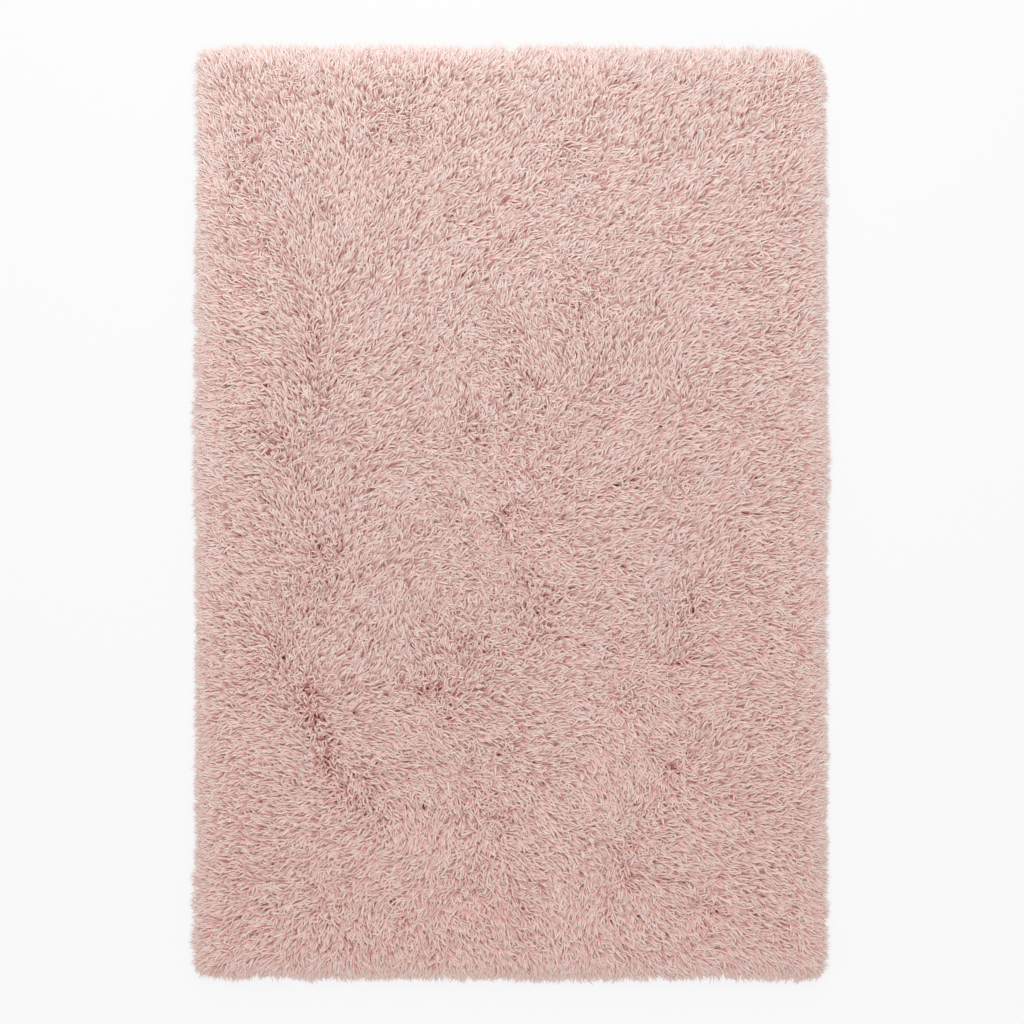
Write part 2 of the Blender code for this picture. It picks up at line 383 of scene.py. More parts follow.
# What chance gives each lock and each of its strands: spreads about a mean, or lows and highs.
LOCK_BEND = 0.30
LOCK_LENGTH = (0.88, 1.06)
LOCK_RISE = 0.035
STRAND_BEND = 0.08
STRAND_LENGTH = (0.84, 1.04)
EDGE_LENGTH = (0.90, 1.03)
STRAND_LAY = (0.9, 1.1)
STRAND_TOP = (0.93, 1.04)
STRAND_ROLL = 0.28
STRAND_TWIST = 0.25
STRAND_WIDTH = (0.75, 1.25)
UPRIGHT = 0.4            # a strand with less lay than this turns any way about itself
STRAYS = 0.12            # share of strands whose tips stay apart from their lock's
STRAY_TIP = 0.006        # how far the tip of a stray lies from its lock's tip
GATHERED_TIP = 0.002     # the same for the other strands
LOOSE_TIP = 0.002        # added where the pile is loose

# A fan is how far, in radians, the strands of one lock spread from its heading.
FAN = 0.07
UNDER_FAN = 0.20
LOOSE_FAN = 0.35
PARTING_FAN = 0.9

# Undergrowth, as shares of what other strands have.
UNDER_REACH = 0.75
UNDER_TOP = 0.84
UNDER_TOP_EDGE = 0.45    # taken off the share of the top at the edge of the cloth
UNDER_WIDTH = 1.9

# Height and run of a strand.
TOP = 0.94               # height of an upright strand, as a share of the solid's
TOP_LAID = 0.10          # taken off it for one that is combed flat
DROOP = 0.20             # how far the tip of a flat strand may hang, as a share of its height
DROOP_START = 0.7        # how far along the strand that begins
DROOP_RUN = 0.3
GATHER_POWER = 1.2       # above 1, strands draw together late
BEND_START = 0.3         # share of its reach that a strand runs before it bends over
LOWEST_POINT = 0.0012    # least height of a strand's middle over the floor
LOWEST_SIDE = 0.0005     # and of its sides

# Shade of a strand: 0 is the deepest yarn and 1 the palest. It varies at random, and holds painted
# shade on the undergrowth and a painted light falloff from back to front.
MEAN_SHADE = 0.5
LOCK_SHADE = 0.06
STRAND_SHADE = 0.13
END_PAINTED_FALLOFF = 0.08         # painted light falloff: paler by this at the back end, towards the key light, deeper at the front
# painted shade on the undergrowth, low in the pile
UNDER_PAINTED_SHADE = 0.28
SHADES = 24              # steps of shade that the yarn comes in

ROUNDNESS = 0.5          # how far a strand's shading turns from its middle to its sides
TINY = 1e-12             # keeps a division from zero


class RugSizes(bpy.types.PropertyGroup):
    """Sizes of the pile and its ground cloth."""

    cloth_width: FloatProperty(
        name="Cloth width", description="Ground cloth from side to side",
        default=1.200, unit="LENGTH",
    )
    cloth_length: FloatProperty(
        name="Cloth length", description="Ground cloth from end to end",
        default=1.800, unit="LENGTH",
    )
    cloth_thickness: FloatProperty(
        name="Cloth thickness", description="Ground cloth under the pile",
        default=0.002, unit="LENGTH",
    )
    pile_length: FloatProperty(
        name="Pile length", description="Length of a strand from root to tip",
        default=0.050, unit="LENGTH",
    )
    lock_spacing: FloatProperty(
        name="Lock spacing", description="Distance from one lock's root to the next",
        default=0.0072, unit="LENGTH",
    )
    strand_width: FloatProperty(
        name="Strand width", description="Mean width of a strand of yarn",
        default=0.0020, unit="LENGTH",
    )
    strands: IntProperty(
        name="Strands a lock", description="Strands that grow from one root, undergrowth included",
        default=4,
    )
    pieces: IntProperty(
        name="Pieces", description="Bands that the pile is made in, from end to end", default=6,
    )
    seed: IntProperty(name="Seed", description="Starts the pile's random numbers", default=7)


class RugColours(bpy.types.PropertyGroup):
    """Colours of the pile, its ground cloth and the studio."""

    # The root colour is partly the yarn's own and partly painted shade deep in the pile.
    root: FloatVectorProperty(
        name="Root", description="Yarn deep in the pile",
        subtype="COLOR", size=3, default=(0.66, 0.29, 0.25),
    )
    body: FloatVectorProperty(
        name="Body", description="Yarn half way up",
        subtype="COLOR", size=3, default=(0.672, 0.505, 0.463),
    )
    tip: FloatVectorProperty(
        name="Tip", description="Yarn at the tips",
        subtype="COLOR", size=3, default=(0.68, 0.607, 0.568),
    )
    cloth: FloatVectorProperty(
        name="Ground cloth", description="Woven cloth under the pile",
        subtype="COLOR", size=3, default=(0.50, 0.34, 0.30),
    )
    floor: FloatVectorProperty(
        name="Floor", description="Studio floor",
        subtype="COLOR", size=3, default=(0.90, 0.90, 0.905),
    )


class Expression:
    """A value in a material's node tree; arithmetic on it adds Math nodes."""

    def __init__(self, maker, socket):
        self.maker = maker
        self.socket = socket

    def math(self, operation, *values):
        node = self.maker.node("ShaderNodeMath", {"operation": operation}, values)
        return Expression(self.maker, node.outputs[0])

    def __add__(self, other):
        return self.math("ADD", self, other)

    def __radd__(self, other):
        return self.math("ADD", other, self)

    def __sub__(self, other):
        return self.math("SUBTRACT", self, other)

    def __rsub__(self, other):
        return self.math("SUBTRACT", other, self)

    def __mul__(self, other):
        return self.math("MULTIPLY", self, other)

    def __rmul__(self, other):
        return self.math("MULTIPLY", other, self)


class MaterialMaker:
    """A new material with a Principled BSDF, and the one way to add any other node to it."""

    def __init__(self, name):
        self.material = bpy.data.materials.new(name)
        self.material.use_nodes = True
        self.tree = self.material.node_tree
        self.shader = self.tree.nodes["Principled BSDF"]

    def node(self, kind, settings=None, values=()):
        """Adds a node; values go to its sockets, by place in a sequence or by name in a dict."""
        made = self.tree.nodes.new(kind)
        for name, setting in (settings or {}).items():
            setattr(made, name, setting)
        pairs = values.items() if isinstance(values, dict) else enumerate(values)
        for key, value in pairs:
            self.feed(made.inputs[key], value)
        return made

    def feed(self, socket, value):
        """Links an expression or socket to a socket, or sets its own value."""
        if isinstance(value, Expression):
            value = value.socket
        if isinstance(value, bpy.types.NodeSocket):
            self.tree.links.new(value, socket)
        else:
            socket.default_value = value

    def value(self, node, output=0):
        return Expression(self, node.outputs[output])

    def attribute(self, name):
        return self.value(self.node("ShaderNodeAttribute", {"attribute_name": name}), "Fac")

    def mix(self, factor, first, second):
        """Colour between two colours."""
        node = self.node("ShaderNodeMix", {"data_type": "RGBA"})
        self.feed(node.inputs[0], factor)
        self.feed(node.inputs[6], first)
        self.feed(node.inputs[7], second)
        return node.outputs[2]

    def ramp(self, value, low, high):
        """0 to 1, smoothly, as a value goes from low to high."""
        node = self.node(
            "ShaderNodeMapRange", {"interpolation_type": "SMOOTHSTEP"},
            {"Value": value, "From Min": low, "From Max": high},
        )
        return node.outputs[0]

    def bump(self, height, strength, distance):
        values = {"Strength": strength, "Distance": distance, "Height": height}
        return self.node("ShaderNodeBump", None, values).outputs[0]

    def finish(self, **values):
        """Feeds the shader's sockets, with an underscore for a space, and gives the material."""
        for name, value in values.items():
            self.feed(self.shader.inputs[name.replace("_", " ")], value)
        return self.material


def opaque(colour):
    return (*colour, 1.0)


def unit(vectors):
    """Vectors along the last axis, each 1 long."""
    return vectors / (np.linalg.norm(vectors, axis=-1, keepdims=True) + TINY)


def smooth_field(rng, cell):
    """A smooth random field over the rug, about -1 to 1, with bumps as wide as the cell."""
    reach_x = CAD_WIDTH / 2 + 2 * cell
    reach_y = CAD_LENGTH / 2 + 2 * cell
    columns = int(2 * reach_x / cell) + 2
    rows = int(2 * reach_y / cell) + 2
    knots = rng.uniform(-1, 1, (rows, columns))

    def field(x, y):
        place_x = (x + reach_x) / cell
        place_y = (y + reach_y) / cell
        column = np.clip(np.floor(place_x).astype(int), 0, columns - 2)
        row = np.clip(np.floor(place_y).astype(int), 0, rows - 2)
        share_x = np.clip(place_x - column, 0, 1)
        share_y = np.clip(place_y - row, 0, 1)
        share_x = share_x * share_x * (3 - 2 * share_x)
        share_y = share_y * share_y * (3 - 2 * share_y)
        low = knots[row, column] * (1 - share_x) + knots[row, column + 1] * share_x
        high = knots[row + 1, column] * (1 - share_x) + knots[row + 1, column + 1] * share_x
        return low * (1 - share_y) + high * share_y

    return field


def side_lean(side, place):
    """How far a side's tufts lean out at places along it."""
    rows = SIDE_LEANS[side]
    return np.interp(place, [row.place for row in rows], [row.out for row in rows])


def inset_at(x, y):
    """Distance in from the rug's uneven outline; below 0 outside it."""
    lean_x = np.where(x > 0, side_lean("right", y), side_lean("left", y))
    lean_y = np.where(y > 0, side_lean("back", x), side_lean("front", x))
    gap_x = CAD_WIDTH / 2 - OUTLINE_INSET_X + lean_x - np.abs(x)
    gap_y = CAD_LENGTH / 2 - OUTLINE_INSET_Y + lean_y - np.abs(y)
    turn = np.full_like(x, max(CORNER_RADII.values()))
    for (side_x, side_y), radius in CORNER_RADII.items():
        turn[(x * side_x > 0) & (y * side_y > 0)] = radius
    corner = turn - np.hypot(np.maximum(turn - gap_x, 0), np.maximum(turn - gap_y, 0))
    return np.where((gap_x < turn) & (gap_y < turn), corner, np.minimum(gap_x, gap_y))


def outward_from_cloth(x, y, sizes):
    """Vector straight out from the rim of the cloth, and nearness to its edge, 0 to 1."""
    core_x = sizes.cloth_width / 2 - RIM
    core_y = sizes.cloth_length / 2 - RIM
    away_x = x - np.clip(x, -core_x, core_x)
    away_y = y - np.clip(y, -core_y, core_y)
    length = np.hypot(away_x, away_y)
    edge = np.clip(length / RIM, 0, 1)
    safe = np.maximum(length, 1e-9)
    return away_x / safe * edge, away_y / safe * edge, edge


def hollow_at(x, y):
    """Depth of the hollows at points, as a share of the deepest one."""
    deepest = np.zeros_like(x)
    for hollow in HOLLOWS:
        turn = math.radians(hollow.heading)
        away_x = x - hollow.x
        away_y = y - hollow.y
        along = away_x * math.cos(turn) + away_y * math.sin(turn)
        across = away_y * math.cos(turn) - away_x * math.sin(turn)
        spread = (2 * along / hollow.length) ** 2 + (2 * across / hollow.width) ** 2
        deepest = np.maximum(deepest, hollow.drop / DEEPEST_HOLLOW * np.exp(-spread))
    return deepest


def tangle_at(x, y):
    """How tangled the pile is at points, 0 to 1."""
    total = np.zeros_like(x)
    for tangle in TANGLES:
        apart = ((x - tangle.x) ** 2 + (y - tangle.y) ** 2) / tangle.reach ** 2
        total = np.maximum(total, tangle.amount * np.exp(-apart))
    return total


def brushed_at(x, y):
    """Direction that the strokes give the pile at points, as a vector of length up to 1."""
    length = np.hypot(x, y) + 1e-9
    total_x = UNBRUSHED * x / length
    total_y = UNBRUSHED * y / length
    weight = np.full_like(x, UNBRUSHED)
    for stroke in STROKES:
        turn = math.radians(stroke.heading)
        share = np.exp(-((x - stroke.x) ** 2 + (y - stroke.y) ** 2) / stroke.reach ** 2)
        total_x += share * math.cos(turn)
        total_y += share * math.sin(turn)
        weight += share
    return total_x / weight, total_y / weight


def opened_at(x, y):
    """Push away from the whorls at points, as a vector, and nearness to a whorl, 0 to 1."""
    push_x = np.zeros_like(x)
    push_y = np.zeros_like(x)
    nearest = np.zeros_like(x)
    for whorl in WHORLS:
        away_x = x - whorl.x
        away_y = y - whorl.y
        apart = np.hypot(away_x, away_y) + 1e-9
        share = np.exp(-(apart / whorl.reach) ** 2)
        push_x += WHORL_PUSH * share * away_x / apart
        push_y += WHORL_PUSH * share * away_y / apart
        nearest = np.maximum(nearest, share)
    return push_x, push_y, nearest


def plant_roots(rng, sizes):
    """Roots of all locks: an uneven grid over the cloth, thicker near its edges."""
    spacing = sizes.lock_spacing
    half_width = sizes.cloth_width / 2
    half_length = sizes.cloth_length / 2
    columns = round(sizes.cloth_width / spacing)
    rows = round(sizes.cloth_length / spacing)
    x, y = np.meshgrid(
        (np.arange(columns) + 0.5) / columns - 0.5,
        (np.arange(rows) + 0.5) / rows - 0.5,
    )
    x[::2] += 0.5 / columns
    x = x.ravel() * sizes.cloth_width + rng.uniform(-ROOT_STRAY, ROOT_STRAY, x.size) * spacing
    y = y.ravel() * sizes.cloth_length + rng.uniform(-ROOT_STRAY, ROOT_STRAY, y.size) * spacing

    around = 2 * (sizes.cloth_width + sizes.cloth_length)
    extra = int(around * EDGE_BAND / spacing ** 2 * EDGE_EXTRA)
    along = rng.uniform(0, 1, extra) - 0.5
    depth = EDGE_BAND * rng.uniform(0, 1, extra) ** EDGE_CROWDING
    on_end = rng.uniform(0, 1, extra) < 2 * sizes.cloth_width / around
    sign = np.where(rng.uniform(0, 1, extra) < 0.5, -1, 1)
    extra_x = np.where(on_end, along * sizes.cloth_width, sign * (half_width - depth))
    extra_y = np.where(on_end, sign * (half_length - depth), along * sizes.cloth_length)
    x = np.clip(np.concatenate([x, extra_x]), -half_width, half_width)
    y = np.clip(np.concatenate([y, extra_y]), -half_length, half_length)
    return x, y


def flow_at(x, y, sizes, eddies):
    """Lean of the pile at points, nearness to the cloth's edge, and nearness to a whorl."""
    brushed_x, brushed_y = brushed_at(x, y)
    out_x, out_y, edge = outward_from_cloth(x, y, sizes)
    push_x, push_y, whorled = opened_at(x, y)
    turn = sum(most * field(x, y) for most, field in eddies)
    cosine = np.cos(turn)
    sine = np.sin(turn)
    flow_x = brushed_x * cosine - brushed_y * sine + push_x + OUTWARD_PULL * edge * out_x
    flow_y = brushed_x * sine + brushed_y * cosine + push_y + OUTWARD_PULL * edge * out_y
    return flow_x, flow_y, edge, whorled


def parting_at(x, y, sizes, eddies):
    """How far the pile parts at points, 0 to 1, from how fast its direction opens out."""
    opening = np.zeros_like(x)
    for axis, (step_x, step_y) in enumerate(((PARTING_STEP, 0.0), (0.0, PARTING_STEP))):
        for sign in (-1, 1):
            flow = flow_at(x + sign * step_x, y + sign * step_y, sizes, eddies)
            length = np.hypot(flow[0], flow[1]) + 1e-6
            opening += sign * flow[axis] / length / (2 * PARTING_STEP)
    return np.clip(opening / FULL_PARTING, 0, 1)


def comb_locks(rng, sizes, x, y):
    """Each lock's heading, lay, nearness to an edge, looseness and parting."""
    eddies = [(eddy.turn, smooth_field(rng, eddy.cell)) for eddy in EDDIES]
    flow_x, flow_y, edge, whorled = flow_at(x, y, sizes, eddies)
    parting = parting_at(x, y, sizes, eddies) * (1 - edge)
    tangle = tangle_at(x, y)
    stray_turn = rng.uniform(-np.pi, np.pi, x.size)
    stray = STRAY_LEAN + TANGLED_LEAN * tangle
    total_x = flow_x + stray * np.cos(stray_turn)
    total_y = flow_y + stray * np.sin(stray_turn)
    strength = np.clip(np.hypot(total_x, total_y), LEAST_STRENGTH, 1.0)
    parting = np.maximum(parting, WHORL_PARTING * whorled)
    loose = np.maximum(tangle, parting)
    lay = strength * (1 - TANGLE_STANDS * tangle) * (1 - PARTING_STANDS * parting)
    lay = np.clip(lay * rng.uniform(*LAY_CHANCE, x.size), LEAST_LAY, 1)
    lay = np.maximum(lay, EDGE_LAY * edge)
    return np.arctan2(total_y, total_x), lay, edge, loose, parting


def spread_cover(x, y, lean_x, lean_y, held):
    """Leans changed so that locks cover the rug evenly: each moves off to where fewer lie."""
    reach_x = CAD_WIDTH / 2 + COVER_MARGIN
    reach_y = CAD_LENGTH / 2 + COVER_MARGIN
    columns = int(2 * reach_x / COVER_CELL)
    rows = int(2 * reach_y / COVER_CELL)

    def cell_at(share):
        column = ((x + share * lean_x + reach_x) / COVER_CELL).astype(int)
        row = ((y + share * lean_y + reach_y) / COVER_CELL).astype(int)
        return np.clip(column, 0, columns - 1), np.clip(row, 0, rows - 1)

    for _ in range(COVER_PASSES):
        cover = np.zeros((columns, rows))
        for share in COVER_PLACES:
            np.add.at(cover, cell_at(share), 1.0)
        for _ in range(COVER_BLURS):
            cover = (np.roll(cover, 1, 0) + 2 * cover + np.roll(cover, -1, 0)) / 4
            cover = (np.roll(cover, 1, 1) + 2 * cover + np.roll(cover, -1, 1)) / 4
        slope_x, slope_y = np.gradient(cover / np.median(cover[cover > 0]), COVER_CELL)
        middle = cell_at(COVER_PLACES[1])
        step = COVER_STEP * (1 - held)
        lean_x = lean_x - step * slope_x[middle]
        lean_y = lean_y - step * slope_y[middle]
    return lean_x, lean_y


def profile_height(inset):
    """Height of the pile's top at a distance in from the outline."""
    insets = [ring.inset for ring in EDGE_RINGS]
    return np.interp(inset, insets, [ring.height for ring in EDGE_RINGS])


Locks = namedtuple("Locks", "x y heading reach lay edge loose parting shade bend rise length")


def grow_locks(rng, sizes):
    """All locks: where each stands, how it leans, and what chance gives it."""
    x, y = plant_roots(rng, sizes)
    heading, lay, edge, loose, parting = comb_locks(rng, sizes, x, y)
    reach = sizes.pile_length * (UPRIGHT_REACH + LAID_REACH * lay)
    # Locks near an edge of the cloth end at the rug's outline.
    scallop = smooth_field(rng, SCALLOP_CELL)
    to_outline = inset_at(x, y) + PAST_OUTLINE + SCALLOP * scallop(x, y)
    nearness = np.abs(y / CAD_LENGTH * 2) ** END_POWER
    to_outline += np.where(y > 0, PAST_BACK, PAST_FRONT) * nearness
    reach += (np.minimum(to_outline, LONGEST_EDGE_REACH) - reach) * edge
    lean_x, lean_y = spread_cover(x, y, reach * np.cos(heading), reach * np.sin(heading), edge)
    return Locks(
        x=x, y=y, heading=np.arctan2(lean_y, lean_x), reach=np.hypot(lean_x, lean_y),
        lay=lay, edge=edge, loose=loose, parting=parting,
        shade=rng.normal(0, 1, x.size),
        bend=rng.normal(0, LOCK_BEND, x.size),
        rise=rng.normal(0, 1, x.size),
        length=rng.uniform(*LOCK_LENGTH, x.size),
    )


Strands = namedtuple("Strands", "root_x root_y tip_x tip_y heading bend reach top droop")


def strand_points(sizes, lock, strand):
    """Points of every strand, from root to tip."""
    ahead_x = np.cos(strand.heading)
    ahead_y = np.sin(strand.heading)
    points = np.empty((len(strand.reach), len(STRAND_ROWS), 3))
    for row, shape in enumerate(STRAND_ROWS):
        # Root offsets give way to tip offsets along the strand.
        gather = shape.along ** GATHER_POWER
        off_x = (strand.root_x - lock.x) * (1 - gather) + strand.tip_x * gather
        off_y = (strand.root_y - lock.y) * (1 - gather) + strand.tip_y * gather
        forward = strand.reach * shape.reach
        sideways = strand.reach * strand.bend * (shape.reach ** 2 - BEND_START * shape.reach)
        points[:, row, 0] = lock.x + off_x + forward * ahead_x - sideways * ahead_y
        points[:, row, 1] = lock.y + off_y + forward * ahead_y + sideways * ahead_x
        drooped = max(0.0, shape.along - DROOP_START) / DROOP_RUN
        points[:, row, 2] = strand.top * (shape.height - strand.droop * drooped)
    # Past the edge of the cloth the pile falls to the floor.
    inset = inset_at(points[:, :, 0], points[:, :, 1])
    points[:, :, 2] *= profile_height(inset) / EDGE_RINGS[-1].height
    points[:, :, 2] += sizes.cloth_thickness * (1 - ROWS_ALONG)
    points[:, :, 2] = np.maximum(points[:, :, 2], LOWEST_POINT)
    return points


def grow_strands(rng, sizes):
    """Every strand's points, roll, twist, width and shade."""
    locks = grow_locks(rng, sizes)
    count = sizes.strands
    lock = Locks(*(np.repeat(column, count) for column in locks))
    strands = lock.x.size
    # Roots spread over the lock's own patch; tips draw together, but for a few strays.
    root_turn = rng.uniform(-np.pi, np.pi, strands)
    root_out = 0.5 * sizes.lock_spacing * np.sqrt(rng.uniform(0, 1, strands))
    tip_turn = rng.uniform(-np.pi, np.pi, strands)
    stray = rng.uniform(0, 1, strands) < STRAYS
    # The last strand of each lock is its short and broad undergrowth, coloured deeper as painted
    # shade low in the pile.
    under = np.tile(np.arange(count) == count - 1, locks.x.size)
    tip_out = np.where(stray | under, STRAY_TIP, GATHERED_TIP) + LOOSE_TIP * lock.loose
    tip_out = tip_out * np.sqrt(rng.uniform(0, 1, strands))
    length = lock.length * rng.uniform(*STRAND_LENGTH, strands)
    length += (rng.uniform(*EDGE_LENGTH, strands) - length) * lock.edge
    lay = np.clip(lock.lay * rng.uniform(*STRAND_LAY, strands), 0.1, 1)
    fan = FAN + UNDER_FAN * under + LOOSE_FAN * lock.loose + PARTING_FAN * lock.parting
    heading = lock.heading + fan * rng.normal(0, 1, strands)
    bend = lock.bend + rng.normal(0, STRAND_BEND, strands)

    hollow = DEEPEST_HOLLOW * np.repeat(hollow_at(locks.x, locks.y), count)
    top = CAD_HEIGHT * (TOP - TOP_LAID * lay) - hollow
    top = top * (1 + LOCK_RISE * lock.rise) * rng.uniform(*STRAND_TOP, strands)
    top = top * np.where(under, UNDER_TOP - UNDER_TOP_EDGE * lock.edge, 1.0)
    droop = DROOP * lay * rng.uniform(0, 1, strands)

    half_width = sizes.cloth_width / 2
    half_length = sizes.cloth_length / 2
    root_x = np.clip(lock.x + root_out * np.cos(root_turn), -half_width, half_width)
    root_y = np.clip(lock.y + root_out * np.sin(root_turn), -half_length, half_length)
    points = strand_points(sizes, lock, Strands(
        root_x=root_x, root_y=root_y,
        tip_x=tip_out * np.cos(tip_turn), tip_y=tip_out * np.sin(tip_turn),
        heading=heading, bend=bend,
        reach=length * lock.reach * np.where(under, UNDER_REACH, 1.0),
        top=top, droop=droop,
    ))

    roll = rng.normal(0, STRAND_ROLL, strands)
    roll += np.where(lay < UPRIGHT, rng.uniform(-1, 1, strands), 0)
    twist = rng.normal(0, STRAND_TWIST, strands)
    width = sizes.strand_width * rng.uniform(*STRAND_WIDTH, strands)
    width *= np.where(under, UNDER_WIDTH, 1.0)
    shade = MEAN_SHADE + LOCK_SHADE * lock.shade + STRAND_SHADE * rng.normal(0, 1, strands)
    # Painted light falloff along the rug, paler at the back, and painted shade on the undergrowth.
    shade += END_PAINTED_FALLOFF * root_y / (CAD_LENGTH / 2) - UNDER_PAINTED_SHADE * under
    return points, roll, twist, width, np.clip(shade, 0, 1)


def ribbon_sides(points, roll, twist, width):
    """Half-width vector of each strand at each row, square to the strand."""
    tangent = unit(np.gradient(points, axis=1))
    flat = np.stack([-tangent[:, :, 1], tangent[:, :, 0], np.zeros(tangent.shape[:2])], axis=2)
    # A strand's sideways direction comes from its lean, which its root alone doesn't show.
    lean = points[:, -1] - points[:, 0]
    lean_flat = unit(np.stack([-lean[:, 1], lean[:, 0], np.zeros(len(lean))], axis=1))
    flat = 0.2 * flat + lean_flat[:, None]
    flat = unit(flat - (flat * tangent).sum(2, keepdims=True) * tangent)
    up = np.cross(tangent, flat)
    turn = roll[:, None] + twist[:, None] * ROWS_ALONG
    side = np.cos(turn)[:, :, None] * flat + np.sin(turn)[:, :, None] * up
    return side * (width[:, None] / 2 * ROWS_WIDTH)[:, :, None]


def rounded_normals(points, sides):
    """Normals that shade each flat strand as if it were round."""
    strands, rows = points.shape[:2]
    body = rows - 1
    across = sides.copy()
    across[:, -1] = sides[:, -2]
    up = unit(np.cross(across, np.gradient(points, axis=1)))
    turned = ROUNDNESS * unit(across)
    normals = np.empty((strands, 2 * body + 1, 3))
    normals[:, 0:2 * body:2] = up[:, :body] - turned[:, :body]
    normals[:, 1:2 * body:2] = up[:, :body] + turned[:, :body]
    normals[:, -1] = up[:, -1]
    return unit(normals).reshape(-1, 3)


def strand_mesh(name, points, sides, shade):
    """One mesh of many strands: ribbons of quads that end in a pointed tip."""
    strands, rows = points.shape[:2]
    body = rows - 1
    a_strand = 2 * body + 1
    places = np.empty((strands, a_strand, 3), np.float32)
    places[:, 0:2 * body:2] = points[:, :body] - sides[:, :body]
    places[:, 1:2 * body:2] = points[:, :body] + sides[:, :body]
    places[:, -1] = points[:, -1]
    places[:, :, 2] = np.maximum(places[:, :, 2], LOWEST_SIDE)

    corners = []
    for row in range(body - 1):
        corners += [2 * row, 2 * row + 1, 2 * row + 3, 2 * row + 2]
    corners += [2 * body - 2, 2 * body - 1, 2 * body]
    corner_counts = np.tile([4] * (body - 1) + [3], strands)
    loops = (np.array(corners) + a_strand * np.arange(strands)[:, None]).ravel()

    mesh = bpy.data.meshes.new(name)
    mesh.vertices.add(strands * a_strand)
    mesh.vertices.foreach_set("co", places.ravel())
    mesh.loops.add(len(loops))
    mesh.loops.foreach_set("vertex_index", loops.astype(np.int32))
    mesh.polygons.add(len(corner_counts))
    starts = np.concatenate([[0], np.cumsum(corner_counts)[:-1]])
    mesh.polygons.foreach_set("loop_start", starts.astype(np.int32))
    mesh.update(calc_edges=True)
    mesh.validate()

    along = np.tile(np.append(np.repeat(ROWS_ALONG[:-1], 2), 1.0), strands)
    across = np.tile(np.append(np.tile([0.0, 1.0], body), 0.5), strands)
    level = np.repeat(np.minimum(np.floor(shade * SHADES), SHADES - 1), a_strand)
    for label, numbers in (("along", along), ("across", across), ("shade", level / SHADES)):
        layer = mesh.attributes.new(label, "FLOAT", "POINT")
        layer.data.foreach_set("value", numbers.astype(np.float32))
    # The flat layout has one strip for each shade of yarn, root to tip along it.
    end_gap = 0.02
    strip_gap = 0.15
    layout = np.stack([
        end_gap + (1 - 2 * end_gap) * along,
        (level + strip_gap + (1 - 2 * strip_gap) * across) / SHADES,
    ], axis=1)
    uv_layer = mesh.uv_layers.new(name="OFBake")
    uv_layer.uv.foreach_set("vector", layout[loops].astype(np.float32).ravel())
    mesh.shade_smooth()
    mesh.normals_split_custom_set_from_vertices(rounded_normals(points, sides))
    return mesh


def pile_material(colours):
    """Yarn: deep rose at the root, pale at the tip, streaked lengthwise, in shades of its own; the
    deep root and the deeper sides of each strand are partly painted shade.
    """
    maker = MaterialMaker("pile_yarn")
    along = maker.attribute("along")
    across = maker.attribute("across")
    shade = maker.attribute("shade")
    # Fibres run along the strand, and each shade takes them from another part of the noise.
    place = maker.node(
        "ShaderNodeCombineXYZ", None, (across * 2.2 + shade * 97.0, along * 3.0, shade * 31.0)
    )
    fibres = maker.value(maker.node(
        "ShaderNodeTexNoise", {"noise_dimensions": "3D"},
        {"Vector": place.outputs[0], "Scale": 4.0, "Detail": 2.0, "Roughness": 0.6},
    ))
    # Towards the root the yarn goes deep rose, partly its own colour and partly painted shade deep
    # in the pile.
    above_root = maker.ramp(along + (fibres - 0.5) * 0.25, 0.22, 0.66)
    near_tip = maker.ramp(along + (shade - 0.5) * 0.5, 0.45, 1.0)
    root = opaque(colours.root)
    yarn = maker.mix(above_root, root, opaque(colours.body))
    yarn = maker.mix(near_tip, yarn, opaque(colours.tip))
    # Painted shade: each strand goes deeper towards the root colour at its sides, as a lock's
    # sides lie in the shade of its neighbours; lower shade levels go deeper too, and the fibre
    # streaks vary at random.
    rim = (across - 0.5) * (across - 0.5) * 4.0
    depth = rim * 0.45 + (0.5 - shade) * 0.9 + (0.5 - fibres) * 0.5
    return maker.finish(
        Base_Color=maker.mix(depth, yarn, maker.mix(0.6, yarn, root)),
        Roughness=0.62 + fibres * 0.25,
        Normal=maker.bump(fibres, 0.25, 0.0004),
        # A little light of the root's colour stands for light that comes through the fibres.
        Emission_Color=root, Emission_Strength=0.10,
        Sheen_Weight=0.1, Sheen_Roughness=0.5, Specular_IOR_Level=0.2,
    )


def cloth_material(colours):
    """Plain woven ground cloth: two sets of threads over and under each other."""
    maker = MaterialMaker("ground_cloth")
    place = maker.node("ShaderNodeTexCoord").outputs["Object"]
    threads = []
    for direction in ("X", "Y"):
        threads.append(maker.value(maker.node(
            "ShaderNodeTexWave",
            {"wave_type": "BANDS", "bands_direction": direction, "wave_profile": "SIN"},
            {"Vector": place, "Scale": 130.0, "Distortion": 0.6, "Detail": 1.0},
        ), "Fac"))
    weave = threads[0].math("MAXIMUM", threads[0], threads[1])
    between = opaque(0.6 * part for part in colours.cloth)
    return maker.finish(
        Base_Color=maker.mix(weave, between, opaque(colours.cloth)),
        Roughness=0.95 - weave * 0.1,
        Normal=maker.bump(weave, 0.4, 0.0006),
    )


def floor_material(colours):
    """Pale studio floor with a little light of its own, so that shadows on it stay faint."""
    maker = MaterialMaker("studio_floor")
    return maker.finish(
        Base_Color=(0.12, 0.12, 0.12, 1.0), Roughness=0.9, Specular_IOR_Level=0.1,
        Emission_Color=opaque(colours.floor), Emission_Strength=0.90,
    )


def link(name, data):
    """A new object in the scene."""
    made = bpy.data.objects.new(name, data)
    bpy.context.scene.collection.objects.link(made)
    return made


def add_light(name, place, target, size, power):
    """A square soft light that faces a point."""
    lamp = bpy.data.lights.new(name, "AREA")
    lamp.shape = "SQUARE"
    lamp.size = size
    lamp.energy = power
    light = link(name, lamp)
    light.location = place
    away = light.location - Vector(target)
    light.rotation_euler = away.to_track_quat("Z", "Y").to_euler()


